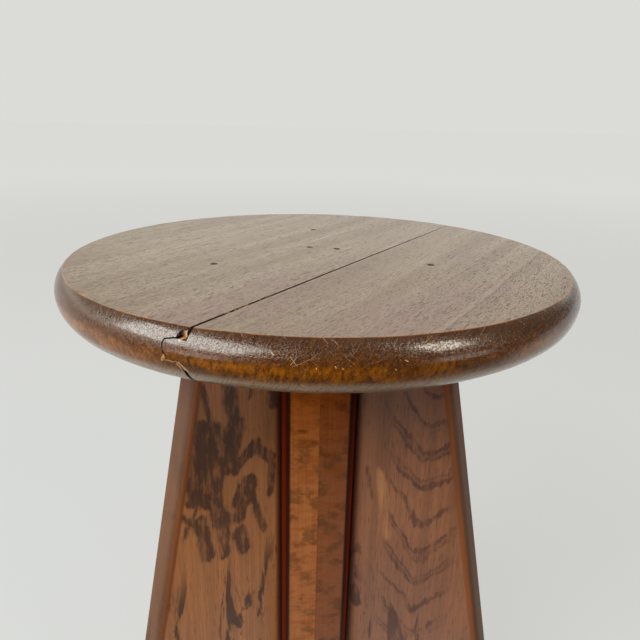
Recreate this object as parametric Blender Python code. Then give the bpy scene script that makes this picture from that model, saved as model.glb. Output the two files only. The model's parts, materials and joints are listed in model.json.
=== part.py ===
"""Three-leg wooden stool with a round seat, modelled piece by piece.

The seat is glued up from two boards with a dowelled seam. Three plank legs stand like the
blades of a propeller around a six-sided core post, and widen towards the floor. Each leg is
dowelled to a face of the post, and nails through the seat, hidden under small plugs of
filler, hold it down on the legs and on the post.

Metres, +Z up. The origin is on the floor, under the middle of the seat. The rear leg points
along +Y, and the two front legs point 120 degrees to each side of it.
"""

import math

import bmesh
import bpy
from mathutils import Matrix, Vector

# Driving dimensions, in metres and degrees.
STOOL_HEIGHT = 0.410
CLEARANCE = 0.0003                # between any two pieces that touch on the real stool

SEAT_DIAMETER = 0.350
SEAT_THICKNESS = 0.030
SEAT_TOP_INSET = 0.005            # how far the crisp top edge lies inside the widest line
SEAT_WIDEST_DEPTH = 0.012         # the widest line of the rim, measured down from the top
SEAT_UNDERSIDE_INSET = 0.016      # how far the lower edge of the rim is rounded in
SEAM_ANGLE = 53.0                 # direction of the seam between the two boards
SEAM_OFFSET = 0.034               # how far the seam lies from the middle of the seat
SEAM_DOWEL_DIAMETER = 0.008
SEAM_DOWEL_LENGTH = 0.040
SEAM_DOWEL_COUNT = 3
SEAM_DOWEL_PITCH = 0.100

LEG_THICKNESS = 0.024
LEG_TOP_REACH = 0.097             # axis to outer edge, at the underside of the seat
LEG_FOOT_REACH = 0.172            # axis to outer edge, at the floor
LEG_EASED_EDGE = 0.0015

POST_FACE_WIDTH = 0.0445
POST_FLOOR_GAP = 0.030
POST_EASED_EDGE = 0.001

LEG_DOWEL_DIAMETER = 0.010
LEG_DOWEL_LENGTH = 0.050
LEG_DOWEL_COUNT = 3
LEG_DOWEL_END_MARGIN = 0.060      # from each end of the post to the nearest dowel

NAIL_LENGTH = 0.060
NAIL_SHANK_DIAMETER = 0.0032
NAIL_HEAD_DIAMETER = 0.0046
NAIL_HEAD_HEIGHT = 0.0020
NAIL_POINT_HEIGHT = 0.0040
NAIL_SET_DEPTH = 0.0025           # top of the nail head below the top of the seat
POST_NAIL_REACH = 0.020           # axis to the nails that enter the post

# How finely the round and eased shapes are drawn.
SEAT_SEGMENTS = 128
RIM_STEPS_ABOVE = 5               # from the crisp top edge to the widest line
RIM_STEPS_BELOW = 8               # from the widest line to the underside
SMALL_SEGMENTS = 16
EASED_EDGE_SEGMENTS = 2
SHARP_ANGLE = 30.0
MERGE_DISTANCE = 1e-6

# Sizes that follow from the ones above.
SEAT_RADIUS = SEAT_DIAMETER / 2
UNDERSIDE_HEIGHT = STOOL_HEIGHT - SEAT_THICKNESS
LEG_TOP_HEIGHT = UNDERSIDE_HEIGHT - CLEARANCE
POST_FACE_DISTANCE = POST_FACE_WIDTH * math.sqrt(3) / 2
PLUG_DIAMETER = NAIL_HEAD_DIAMETER

# Each leg: its direction, how far out its nail is, and how far the nail strays sideways
# from the middle of the plank, since the nails were placed by eye.
LEGS = {
    "left": (210.0, 0.078, -0.008),
    "right": (330.0, 0.080, 0.006),
    "rear": (90.0, 0.089, -0.003),
}
# Each half of the post: its side of the middle plane, and the direction of its nail.
POST_HALVES = {
    "left": (-1, 105.0),
    "right": (1, 43.0),
}


def direction(angle):
    """The level unit vector at this angle from +X."""
    return Vector((math.cos(math.radians(angle)), math.sin(math.radians(angle)), 0))


def make_material(name, colour, roughness, metallic=0.0):
    material = bpy.data.materials.new(name)
    material.use_nodes = True
    shader = material.node_tree.nodes["Principled BSDF"]
    shader.inputs["Base Color"].default_value = (*colour, 1)
    shader.inputs["Roughness"].default_value = roughness
    shader.inputs["Metallic"].default_value = metallic
    material.diffuse_color = (*colour, 1)
    return material


def make_object(name, mesh_builder, material=None):
    """Turn a finished bmesh into a named object with smooth round faces."""
    mesh = bpy.data.meshes.new(name)
    bmesh.ops.recalc_face_normals(mesh_builder, faces=mesh_builder.faces)
    mesh_builder.to_mesh(mesh)
    mesh_builder.free()
    mesh.shade_smooth()
    mesh.set_sharp_from_angle(angle=math.radians(SHARP_ANGLE))
    if material:
        mesh.materials.append(material)
    piece = bpy.data.objects.new(name, mesh)
    bpy.context.scene.collection.objects.link(piece)
    return piece


def turned_bmesh(profile, segments):
    """A solid of revolution around Z, from (radius, height) points, top to bottom."""
    turned = bmesh.new()
    points = [turned.verts.new((radius, 0, height)) for radius, height in profile]
    edges = [turned.edges.new(pair) for pair in zip(points, points[1:])]
    bmesh.ops.spin(turned, geom=points + edges, cent=(0, 0, 0), axis=(0, 0, 1),
                   angle=math.tau, steps=segments, use_merge=True)
    bmesh.ops.remove_doubles(turned, verts=turned.verts, dist=MERGE_DISTANCE)
    return turned


def prism_bmesh(outline, along):
    """A flat outline of points, extruded by one vector."""
    prism = bmesh.new()
    base = prism.faces.new([prism.verts.new(point) for point in outline])
    grown = bmesh.ops.extrude_face_region(prism, geom=[base])
    moved = [item for item in grown["geom"] if isinstance(item, bmesh.types.BMVert)]
    bmesh.ops.translate(prism, verts=moved, vec=along)
    return prism


def make_cutter(name, mesh_builder):
    cutter = make_object(name, mesh_builder)
    cutter.hide_render = True
    cutter.display_type = "WIRE"
    return cutter


def cut(pieces, cutter):
    for piece in pieces:
        hole = piece.modifiers.new(cutter.name, "BOOLEAN")
        hole.operation = "DIFFERENCE"
        hole.solver = "EXACT"
        hole.object = cutter


def place(piece, centre, along):
    """Stand a turned piece at a point, with its own Z axis along a direction."""
    piece.location = centre
    piece.rotation_euler = along.to_track_quat("Z", "Y").to_euler()


def rod_bmesh(diameter, length):
    radius = diameter / 2
    return turned_bmesh([(0, length / 2), (radius, length / 2),
                         (radius, -length / 2), (0, -length / 2)], SMALL_SEGMENTS)


def make_dowel(name, centre, along, diameter, length, drilled, material):
    """A dowel at a point, and the hole that it needs in each drilled piece."""
    dowel = make_object(name, rod_bmesh(diameter, length), material)
    place(dowel, centre, along)
    hole = make_cutter(name + "_hole",
                       rod_bmesh(diameter + 2 * CLEARANCE, length + 2 * CLEARANCE))
    place(hole, centre, along)
    cut(drilled, hole)


# Seat

def seat_profile():
    """The section of the seat: flat top, crisp upper edge, round rim, flat underside."""
    top_radius = SEAT_RADIUS - SEAT_TOP_INSET
    underside_radius = SEAT_RADIUS - SEAT_UNDERSIDE_INSET
    lower_height = SEAT_THICKNESS - SEAT_WIDEST_DEPTH
    profile = [(0, 0), (top_radius, 0)]
    for step in range(1, RIM_STEPS_ABOVE + 1):
        turn = math.pi / 2 * step / RIM_STEPS_ABOVE
        profile.append((top_radius + SEAT_TOP_INSET * math.sin(turn),
                        -SEAT_WIDEST_DEPTH * (1 - math.cos(turn))))
    for step in range(1, RIM_STEPS_BELOW + 1):
        turn = math.pi / 2 * step / RIM_STEPS_BELOW
        profile.append((underside_radius + SEAT_UNDERSIDE_INSET * math.cos(turn),
                        -SEAT_WIDEST_DEPTH - lower_height * math.sin(turn)))
    profile.append((0, -SEAT_THICKNESS))
    return profile


def make_seat_board(name, side, material):
    """One board of the round seat: the part of the disc on one side of the seam."""
    board = turned_bmesh(seat_profile(), SEAT_SEGMENTS)
    across = direction(SEAM_ANGLE - 90)
    seam_point = across * (SEAM_OFFSET + side * CLEARANCE / 2)
    everything = board.verts[:] + board.edges[:] + board.faces[:]
    bmesh.ops.bisect_plane(board, geom=everything, plane_co=seam_point,
                           plane_no=-side * across, clear_outer=True)
    open_edges = [edge for edge in board.edges if edge.is_boundary]
    bmesh.ops.holes_fill(board, edges=open_edges)
    bmesh.ops.translate(board, verts=board.verts, vec=(0, 0, STOOL_HEIGHT))
    return make_object(name, board, material)


def make_seam_dowels(boards, material):
    across = direction(SEAM_ANGLE - 90)
    along = direction(SEAM_ANGLE)
    middle = across * SEAM_OFFSET + Vector((0, 0, STOOL_HEIGHT - SEAT_THICKNESS / 2))
    for number in range(SEAM_DOWEL_COUNT):
        shift = (number - (SEAM_DOWEL_COUNT - 1) / 2) * SEAM_DOWEL_PITCH
        make_dowel(f"seat_dowel_{number + 1}", middle + along * shift, across,
                   SEAM_DOWEL_DIAMETER, SEAM_DOWEL_LENGTH, boards, material)


# Legs and core post

def make_leg(name, angle, material):
    """A plank on edge, from the face of the post out to its sloping outer edge."""
    inner = POST_FACE_DISTANCE + CLEARANCE
    slope = (LEG_FOOT_REACH - LEG_TOP_REACH) / UNDERSIDE_HEIGHT
    top_reach = LEG_FOOT_REACH - slope * LEG_TOP_HEIGHT
    half = LEG_THICKNESS / 2
    outline = [(inner, -half, 0), (LEG_FOOT_REACH, -half, 0),
               (top_reach, -half, LEG_TOP_HEIGHT), (inner, -half, LEG_TOP_HEIGHT)]
    plank = prism_bmesh(outline, (0, LEG_THICKNESS, 0))
    bmesh.ops.rotate(plank, verts=plank.verts, cent=(0, 0, 0),
                     matrix=Matrix.Rotation(math.radians(angle), 3, "Z"))
    leg = make_object(name, plank, material)
    bevel = leg.modifiers.new("eased_edges", "BEVEL")
    bevel.width = LEG_EASED_EDGE
    bevel.segments = EASED_EDGE_SEGMENTS
    bevel.limit_method = "ANGLE"
    return leg


def make_post_half(name, side, material):
    """Half of the six-sided post, with its outer corners eased."""
    seam = side * CLEARANCE / 2
    outline = [(seam, -POST_FACE_DISTANCE), (side * POST_FACE_WIDTH / 2, -POST_FACE_DISTANCE),
               (side * POST_FACE_WIDTH, 0), (side * POST_FACE_WIDTH / 2, POST_FACE_DISTANCE),
               (seam, POST_FACE_DISTANCE)]
    half = prism_bmesh([(x, y, POST_FLOOR_GAP) for x, y in outline],
                       (0, 0, LEG_TOP_HEIGHT - POST_FLOOR_GAP))
    corners = []
    for edge in half.edges:
        upright = abs(edge.verts[0].co.z - edge.verts[1].co.z) > CLEARANCE
        if upright and abs(edge.verts[0].co.x) > CLEARANCE:
            corners.append(edge)
    bmesh.ops.bevel(half, geom=corners, offset=POST_EASED_EDGE, offset_type="OFFSET",
                    segments=EASED_EDGE_SEGMENTS, profile=0.5, affect="EDGES")
    return make_object(name, half, material)


def make_leg_dowels(side, angle, leg, post_halves, material):
    """Level dowels between one leg and the post, spaced evenly up the joint."""
    outward = direction(angle)
    lowest = POST_FLOOR_GAP + LEG_DOWEL_END_MARGIN
    highest = LEG_TOP_HEIGHT - LEG_DOWEL_END_MARGIN
    for number in range(LEG_DOWEL_COUNT):
        height = lowest + (highest - lowest) * number / (LEG_DOWEL_COUNT - 1)
        centre = outward * POST_FACE_DISTANCE + Vector((0, 0, height))
        make_dowel(f"leg_dowel_{side}_{number + 1}", centre, outward,
                   LEG_DOWEL_DIAMETER, LEG_DOWEL_LENGTH, [leg, *post_halves], material)


# Nails and the filler over them

def nail_profile(extra):
    """Half the outline of a nail, grown by an allowance on every side."""
    head = NAIL_HEAD_DIAMETER / 2 + extra
    shank = NAIL_SHANK_DIAMETER / 2 + extra
    tip = -NAIL_LENGTH - extra
    return [(0, 0), (head, 0), (head, -NAIL_HEAD_HEIGHT - extra),
            (shank, -NAIL_HEAD_HEIGHT - extra), (shank, tip + NAIL_POINT_HEIGHT), (0, tip)]


def make_nail(name, spot, boards, held, steel, filler):
    """A nail through the seat board at a spot into the piece that it holds.

    It is set below the top of the seat, with a plug of filler over it, and its hole is cut
    for both.
    """
    wide_board, narrow_board = boards
    beyond_seam = spot.dot(direction(SEAM_ANGLE - 90)) > SEAM_OFFSET
    board = narrow_board if beyond_seam else wide_board
    head_top = Vector((spot.x, spot.y, STOOL_HEIGHT - NAIL_SET_DEPTH))
    nail = make_object("nail_" + name, turned_bmesh(nail_profile(0), SMALL_SEGMENTS), steel)
    nail.location = head_top

    plug_height = NAIL_SET_DEPTH - CLEARANCE
    plug = make_object("filler_plug_" + name, rod_bmesh(PLUG_DIAMETER, plug_height), filler)
    plug.location = head_top + Vector((0, 0, CLEARANCE + plug_height / 2))

    hole_profile = nail_profile(CLEARANCE)
    above_seat = 2 * NAIL_SET_DEPTH
    hole_profile[0] = (0, above_seat)
    hole_profile[1] = (hole_profile[1][0], above_seat)
    hole = make_cutter(f"nail_{name}_hole", turned_bmesh(hole_profile, SMALL_SEGMENTS))
    hole.location = head_top
    cut([board, held], hole)


def make_stool():
    stained = make_material("stained_wood", (0.115, 0.042, 0.016), 0.40)
    leg_wood = make_material("leg_wood", (0.150, 0.062, 0.026), 0.45)
    beech = make_material("dowel_wood", (0.480, 0.300, 0.160), 0.70)
    steel = make_material("nail_steel", (0.350, 0.340, 0.330), 0.45, metallic=1.0)
    filler = make_material("dark_filler", (0.020, 0.013, 0.010), 0.80)

    boards = [make_seat_board("seat_board_wide", -1, stained),
              make_seat_board("seat_board_narrow", 1, stained)]
    make_seam_dowels(boards, beech)

    halves = {}
    for side, (sign, nail_angle) in POST_HALVES.items():
        halves[side] = make_post_half("post_half_" + side, sign, leg_wood)
        spot = direction(nail_angle) * POST_NAIL_REACH
        make_nail("post_" + side, spot, boards, halves[side], steel, filler)

    for side, (angle, reach, stray) in LEGS.items():
        leg = make_leg("leg_" + side, angle, leg_wood)
        make_leg_dowels(side, angle, leg, halves.values(), beech)
        spot = direction(angle) * reach + direction(angle + 90) * stray
        make_nail("leg_" + side, spot, boards, leg, steel, filler)


for leftover in list(bpy.data.objects):
    bpy.data.objects.remove(leftover, do_unlink=True)

make_stool()
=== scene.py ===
# %% [markdown]
# # A three-leg stool in stained wood
# The real stool is fixed joinery: a round seat glued up from two boards, three plank legs and
# a six-sided core post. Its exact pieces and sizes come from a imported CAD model, which this
# lesson loads as a fixed frame. Everything below models the pieces again with the softness,
# wear and wood figure that make them look real, each in the place that the frame gives it.

# %% Load the frame and keep its box
import json
import math

import bmesh
import bpy
from mathutils import Matrix, Vector

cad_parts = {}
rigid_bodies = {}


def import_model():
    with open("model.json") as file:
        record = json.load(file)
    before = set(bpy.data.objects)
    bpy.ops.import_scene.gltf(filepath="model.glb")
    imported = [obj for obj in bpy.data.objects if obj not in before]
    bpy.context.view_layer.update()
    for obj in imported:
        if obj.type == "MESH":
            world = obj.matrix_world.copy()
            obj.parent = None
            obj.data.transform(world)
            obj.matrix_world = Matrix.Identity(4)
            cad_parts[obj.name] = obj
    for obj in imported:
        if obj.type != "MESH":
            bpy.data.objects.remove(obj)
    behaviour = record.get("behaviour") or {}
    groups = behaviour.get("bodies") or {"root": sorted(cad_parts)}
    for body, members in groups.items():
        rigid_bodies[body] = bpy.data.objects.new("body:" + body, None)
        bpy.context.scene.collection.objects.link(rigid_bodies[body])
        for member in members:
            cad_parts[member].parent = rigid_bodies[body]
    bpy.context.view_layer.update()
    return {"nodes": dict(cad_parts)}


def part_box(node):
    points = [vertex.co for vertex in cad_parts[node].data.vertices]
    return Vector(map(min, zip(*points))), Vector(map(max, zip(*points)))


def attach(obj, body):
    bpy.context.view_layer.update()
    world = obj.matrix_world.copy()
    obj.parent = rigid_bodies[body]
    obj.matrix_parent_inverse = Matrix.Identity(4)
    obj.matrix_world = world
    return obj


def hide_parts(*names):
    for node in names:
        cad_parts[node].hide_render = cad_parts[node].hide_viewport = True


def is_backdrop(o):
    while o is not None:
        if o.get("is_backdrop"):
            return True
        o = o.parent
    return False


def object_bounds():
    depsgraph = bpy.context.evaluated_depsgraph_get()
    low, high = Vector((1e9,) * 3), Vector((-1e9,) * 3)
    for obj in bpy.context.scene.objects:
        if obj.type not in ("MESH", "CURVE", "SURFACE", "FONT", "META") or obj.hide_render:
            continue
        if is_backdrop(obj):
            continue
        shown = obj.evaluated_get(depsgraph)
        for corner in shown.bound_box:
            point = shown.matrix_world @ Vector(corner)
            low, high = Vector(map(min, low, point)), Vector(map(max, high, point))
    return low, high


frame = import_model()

nodes = frame["nodes"]

# %% [markdown]
# ## Sizes read from the frame
# Measuring the frame, instead of typing the sizes again, keeps the two models in step. The
# seam runs at 53 degrees to the X axis, so its offset is how far the narrow board's nearest
# point lies across that direction.

# %% Measure the seat, legs and post
MM = 0.001
SEAM_ANGLE = math.radians(53)
LEG_TURNS = {"left": math.radians(210), "right": math.radians(330), "rear": math.radians(90)}

seam_along = Vector((math.cos(SEAM_ANGLE), math.sin(SEAM_ANGLE), 0))
seam_across = Vector((math.sin(SEAM_ANGLE), -math.cos(SEAM_ANGLE), 0))
seam_offset = min(v.co.dot(seam_across) for v in nodes["seat_board_narrow"].data.vertices)

seat_low, seat_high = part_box("seat_board_wide")
seat_radius = -seat_low.x
seat_top = seat_high.z
seat_thickness = seat_high.z - seat_low.z

rear_low, rear_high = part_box("leg_rear")
leg_inner = rear_low.y
leg_half = rear_high.x
leg_top = rear_high.z
leg_foot_reach = rear_high.y
leg_top_reach = max(v.co.y for v in nodes["leg_rear"].data.vertices if v.co.z > leg_top - MM)

post_low, post_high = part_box("post_half_left")
post_face_distance = post_high.y
print(f"seat {2 * seat_radius:.3f} m across and {seat_thickness:.3f} m thick,",
      f"seam {seam_offset:.4f} m from the middle")
print(f"leg reach {leg_top_reach:.4f} m at the top, {leg_foot_reach:.4f} m at the floor")

# %% [markdown]
# ## The camera
# The view is from just above the seat and close in front of it, so the round top is a thin
# ellipse and the planks run away downwards. A 32 mm lens this close gives strong perspective.
# Placing the camera first means that every later step can be judged in the final view.

# %% Place the camera
bpy.ops.object.select_all(action="DESELECT")
bpy.ops.object.camera_add(location=(-0.0365, -0.4004, 0.5014),
                          rotation=[math.radians(a) for a in (70.476, -1.287, -5.023)])
camera = bpy.context.object
camera.data.lens = 32.15
camera.data.sensor_width = 36
camera.data.clip_start = 0.01
bpy.context.scene.camera = camera
print("camera", [round(v, 3) for v in camera.location], "lens", camera.data.lens)

# %% [markdown]
# ## Helpers for modelling
# Blender's operators act on whatever is selected, so the helpers first clear the selection.
# In edit mode, faces and edges are picked in code by their place, as a hand would pick them
# by sight.

# %% Selection helpers
def only(piece):
    """Make one object the whole selection."""
    bpy.ops.object.select_all(action="DESELECT")
    piece.select_set(True)
    bpy.context.view_layer.objects.active = piece


def edit(piece, kind="VERT"):
    """Enter edit mode on one object with nothing selected."""
    only(piece)
    bpy.ops.object.mode_set(mode="EDIT")
    bpy.ops.mesh.select_mode(type=kind)
    bpy.ops.mesh.select_all(action="DESELECT")


def leave_edit():
    bpy.ops.object.mode_set(mode="OBJECT")


def pick(piece, kind, test):
    """In edit mode, select the vertices, edges or faces whose middle passes a test."""
    shape = bmesh.from_edit_mesh(piece.data)
    count = 0
    items = {"VERT": shape.verts, "EDGE": shape.edges, "FACE": shape.faces}[kind]
    for item in items:
        corners = [item] if kind == "VERT" else item.verts
        middle = sum((v.co for v in corners), Vector()) / len(corners)
        chosen = bool(test(middle, item))
        item.select_set(chosen)
        count += chosen
    shape.select_flush_mode()
    bmesh.update_edit_mesh(piece.data)
    return count


def copy_of(piece, name):
    """A copy with a mesh of its own."""
    only(piece)
    bpy.ops.object.duplicate()
    twin = bpy.context.object
    twin.name = twin.data.name = name
    return twin


def apply_place(piece):
    only(piece)
    bpy.ops.object.transform_apply(location=True, rotation=True, scale=True)


def apply_modifier(piece, kind, **settings):
    """Add a modifier, set it and apply it at once."""
    only(piece)
    modifier = piece.modifiers.new(kind.lower(), kind)
    for key, value in settings.items():
        setattr(modifier, key, value)
    bpy.ops.object.modifier_apply(modifier=modifier.name)


def boolean(piece, other, operation="DIFFERENCE"):
    apply_modifier(piece, "BOOLEAN", object=other, operation=operation, solver="EXACT")


def smooth(piece, degrees=30):
    only(piece)
    bpy.ops.object.shade_smooth_by_angle(angle=math.radians(degrees))


def report(piece):
    triangles = sum(len(face.vertices) - 2 for face in piece.data.polygons)
    print(f"{piece.name}: {triangles} triangles")


# %% [markdown]
# ## The round seat, as one disc
# The rim has a crisp upper edge, bulges to its widest line a little way down, and is rounded
# well under below. A lathe would cut exactly this, so the disc starts as a filled circle on
# the top face, and the outline is extruded ring by ring down the rim. The two arcs are worked
# out from ellipses: a shallow one that meets the top at an angle, which is what keeps that
# edge crisp, and a full quarter that runs smoothly into the underside.

# %% Turn the disc
RIM_INSET = 5 * MM          # crisp edge inside the widest line
RIM_WIDEST = 12 * MM        # widest line below the top
RIM_TUCK = 16 * MM          # underside edge inside the widest line
TOP_SHIFT = 3.2 * MM        # the flat top was cut this far behind the middle
CREASE_TURN = math.radians(60)
ROUND_STEPS = 480
UPPER_STEPS, LOWER_STEPS = 12, 16


def rim_profile():
    """Radius and depth of each ring, from the crisp edge down to the underside."""
    wide = RIM_INSET / (1 - math.cos(CREASE_TURN))
    tall = RIM_WIDEST / math.sin(CREASE_TURN)
    rings = []
    for step in range(UPPER_STEPS + 1):
        turn = CREASE_TURN * (1 - step / UPPER_STEPS)
        rings.append((seat_radius - wide * (1 - math.cos(turn)),
                      RIM_WIDEST - tall * math.sin(turn)))
    for step in range(1, LOWER_STEPS + 1):
        turn = math.pi / 2 * step / LOWER_STEPS
        rings.append((seat_radius - RIM_TUCK * (1 - math.cos(turn)),
                      RIM_WIDEST + (seat_thickness - RIM_WIDEST) * math.sin(turn)))
    return rings


rings = rim_profile()
bpy.ops.mesh.primitive_circle_add(vertices=ROUND_STEPS, radius=rings[0][0],
                                  fill_type="NOTHING", location=(0, 0, seat_top))
disc = bpy.context.object
disc.name = "seat_disc"
apply_place(disc)
edit(disc)
bpy.ops.mesh.select_all(action="SELECT")
for (radius, depth), (next_radius, next_depth) in zip(rings, rings[1:]):
    bpy.ops.mesh.extrude_region_move(
        TRANSFORM_OT_translate={"value": (0, 0, depth - next_depth)})
    grow = next_radius / radius
    bpy.ops.transform.resize(value=(grow, grow, 1))
bpy.ops.mesh.edge_face_add()
for level, (radius, depth) in enumerate(rings[:UPPER_STEPS]):
    bpy.ops.mesh.select_all(action="DESELECT")
    pick(disc, "VERT", lambda middle, item: abs(middle.z - seat_top + depth) < 0.1 * MM)
    share = 1 - depth / RIM_WIDEST
    bpy.ops.transform.translate(value=(0, TOP_SHIFT * share ** 1.5, 0))
    if level == 0:
        bpy.ops.mesh.edge_face_add()
bpy.ops.mesh.select_all(action="SELECT")
bpy.ops.mesh.normals_make_consistent(inside=False)
leave_edit()
report(disc)

# %% [markdown]
# ## Hand-worked unevenness
# No rim shaped by hand is truly round. A Displace modifier with a soft cloud texture moves
# each point inwards by up to a third of a millimetre. Its middle level is set to 1, so that
# nothing moves outwards past the size that the frame gives.

# %% Make the rim slightly uneven
RIM_UNEVENNESS = 0.35 * MM

clouds = bpy.data.textures.new("hand_work", "CLOUDS")
clouds.noise_scale = 0.035
clouds.noise_depth = 1
apply_modifier(disc, "DISPLACE", texture=clouds, texture_coords="LOCAL",
               strength=RIM_UNEVENNESS, mid_level=1.0)

# %% [markdown]
# ## Two boards and an opened seam
# The seat was glued up from a wide and a narrow board. With age the glue line has opened at
# the front, by almost two millimetres, and much less at the back. Bisect cuts a copy of
# the disc with a plane and fills the cut. The two planes are turned slightly from each other,
# so the gap tapers.

# %% Cut the disc into its two boards
SEAM_OPEN_FRONT = 1.9 * MM
SEAM_OPEN_BACK = 0.6 * MM


def seam_plane(side):
    """A point on one board's seam face, and its outward normal."""
    front = (seam_across * (seam_offset + side * SEAM_OPEN_FRONT / 2)
             - seam_along * seat_radius)
    back = (seam_across * (seam_offset + side * SEAM_OPEN_BACK / 2)
            + seam_along * seat_radius)
    run = (back - front).normalized()
    return front, Vector((run.y, -run.x, 0)) * -side


def cut_board(name, side):
    board = copy_of(disc, name)
    point, outward = seam_plane(side)
    edit(board)
    bpy.ops.mesh.select_all(action="SELECT")
    bpy.ops.mesh.bisect(plane_co=point, plane_no=outward, use_fill=True, clear_outer=True)
    leave_edit()
    return board


wide_board = cut_board("wide_seat_board", -1)
narrow_board = cut_board("narrow_seat_board", 1)
report(wide_board)
report(narrow_board)

# %% [markdown]
# ## The split at the front of the seam
# At the rim the wood has broken beside the glue line: a chunk of the wide board has stayed
# with the narrow one. The chunk is a block with that outline. It is cut out of the wide board
# a hair too large, which leaves the crack, and what the block shares with the disc is joined
# to the narrow board. Above it a small sliver has broken out and left a gouge.

# %% Move the split chunk from one board to the other
CRACK_WIDTH = 0.55 * MM
BLOCK_FRONT = 5 * MM        # how far outside the rim the blocks start
SPLIT_DEPTH = 16 * MM       # how far in from the rim the split runs
GOUGE_DEPTH = 9 * MM

# Corners on the rim: across the seam, and below the top, in millimetres.
SPLIT_OUTLINE = [(3.0, 5.7), (-1.3, 5.3), (-4.2, 5.0), (-7.4, 5.5), (-10.3, 6.1),
                 (-10.9, 8.0), (-10.8, 9.9), (-9.0, 12.9), (-10.7, 15.2), (-6.0, 15.0),
                 (-2.6, 15.8), (-1.0, 17.5), (-0.2, 19.6), (3.0, 20.2)]
GOUGE_OUTLINE = [(0.9, -0.6), (0.9, 3.4), (-0.6, 5.8), (-4.9, 5.5), (-5.2, 3.4),
                 (-4.0, 1.9), (-1.6, 0.7), (-0.6, -0.6)]


def rim_block(name, outline, reach, grow=0.0):
    """A prism with an outline on the rim, grown by a margin, running in along the seam."""
    bpy.ops.object.select_all(action="DESELECT")
    bpy.ops.mesh.primitive_circle_add(vertices=len(outline), fill_type="NGON")
    block = bpy.context.object
    block.name = name
    front = seam_across * seam_offset - seam_along * (seat_radius + BLOCK_FRONT)
    middle = sum(depth for across, depth in outline) / len(outline)
    for vertex, (across, depth) in zip(block.data.vertices, outline):
        sideways = across * MM - (grow if across < 0 else 0)
        down = depth * MM + (grow if depth > middle else -grow)
        vertex.co = front + seam_across * sideways + Vector((0, 0, seat_top - down))
    edit(block)
    bpy.ops.mesh.select_all(action="SELECT")
    bpy.ops.mesh.extrude_region_move(
        TRANSFORM_OT_translate={"value": seam_along * (reach + BLOCK_FRONT + grow)})
    bpy.ops.mesh.select_all(action="SELECT")
    bpy.ops.mesh.normals_make_consistent(inside=False)
    leave_edit()
    return block


chunk = copy_of(disc, "split_chunk")
boolean(chunk, rim_block("split_shape", SPLIT_OUTLINE, SPLIT_DEPTH), "INTERSECT")
boolean(wide_board, rim_block("split_hole", SPLIT_OUTLINE, SPLIT_DEPTH, CRACK_WIDTH))
boolean(wide_board, rim_block("gouge", GOUGE_OUTLINE, GOUGE_DEPTH))
boolean(narrow_board, chunk, "UNION")
report(narrow_board)

# %% [markdown]
# ## Nail pits
# Five nails hold the seat down. Each was set below the top and hidden under a dab of filler,
# which has shrunk into a small dark dimple. The frame's plugs say where they are, so each pit
# is cut there, and a dab of filler is made again as a shallow lens a little below the surface.

# %% Cut the pits and fill them
PIT_RADIUS = 2.6 * MM
PIT_DEPTH = 1.2 * MM
DAB_DEPTH = 0.7 * MM
DISH_STEPS = 3              # rings that hollow the top of a dab
fillers = []


def round_solid(name, middle, radius, depth, steps=20):
    bpy.ops.object.select_all(action="DESELECT")
    bpy.ops.mesh.primitive_cylinder_add(vertices=steps, radius=radius, depth=depth,
                                        location=middle)
    solid = bpy.context.object
    solid.name = solid.data.name = name
    apply_place(solid)
    return solid


for name in sorted(n for n in nodes if n.startswith("filler_plug_")):
    low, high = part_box(name)
    spot = (low + high) / 2
    board = narrow_board if spot.dot(seam_across) > seam_offset else wide_board
    pit = round_solid("pit", Vector((spot.x, spot.y, seat_top)), PIT_RADIUS, 2 * PIT_DEPTH)
    boolean(board, pit)
    dab = round_solid(name.replace("filler_plug", "filler_dab"),
                      Vector((spot.x, spot.y, seat_top - PIT_DEPTH + DAB_DEPTH / 2)),
                      PIT_RADIUS * 0.98, DAB_DEPTH)
    edit(dab, "FACE")
    pick(dab, "FACE", lambda middle, item: item.normal.z > 0.9)
    for step in range(DISH_STEPS):
        bpy.ops.mesh.inset(thickness=PIT_RADIUS * 0.24)
        bpy.ops.transform.translate(value=(0, 0, -0.11 * MM * (DISH_STEPS - step)))
    leave_edit()
    smooth(dab, 40)
    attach(dab, "root")
    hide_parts(name)
    fillers.append(dab)
    print(dab.name, "in", board.name)

# %% [markdown]
# ## The legs
# Each leg is a plank on edge: straight against the post, sloping outwards at its outer edge,
# whose corners have been rounded over by a plane. A cube is added at the plank's size for the
# rear leg, its outer face is moved to make the slope, and the corners are bevelled, widely
# along the outer edge and slightly elsewhere. The other two legs are copies of it, turned
# about the middle of the stool.

# %% Model the rear leg
OUTER_ROUND = 5.5 * MM
SMALL_ROUND = 0.8 * MM

leg_length = leg_top - rear_low.z
bpy.ops.object.select_all(action="DESELECT")
bpy.ops.mesh.primitive_cube_add(size=1, location=(0, (leg_inner + leg_foot_reach) / 2,
                                                  rear_low.z + leg_length / 2))
rear_leg = bpy.context.object
rear_leg.name = rear_leg.data.name = "rear_leg"
rear_leg.scale = (2 * leg_half, leg_foot_reach - leg_inner, leg_length)
apply_place(rear_leg)

edit(rear_leg, "EDGE")
pick(rear_leg, "EDGE", lambda middle, item: middle.y > leg_foot_reach - MM
     and middle.z > leg_top - MM)
bpy.ops.transform.translate(value=(0, leg_top_reach - leg_foot_reach, 0))
bpy.ops.mesh.select_all(action="DESELECT")
pick(rear_leg, "EDGE", lambda middle, item: middle.y > leg_top_reach
     and abs(middle.x) > leg_half - 0.1 * MM and item.calc_length() > 0.3)
bpy.ops.mesh.bevel(offset=OUTER_ROUND, segments=8, profile=0.5, affect="EDGES")
leave_edit()
apply_modifier(rear_leg, "BEVEL", width=SMALL_ROUND, segments=2, limit_method="ANGLE",
               angle_limit=math.radians(50))
report(rear_leg)

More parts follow.
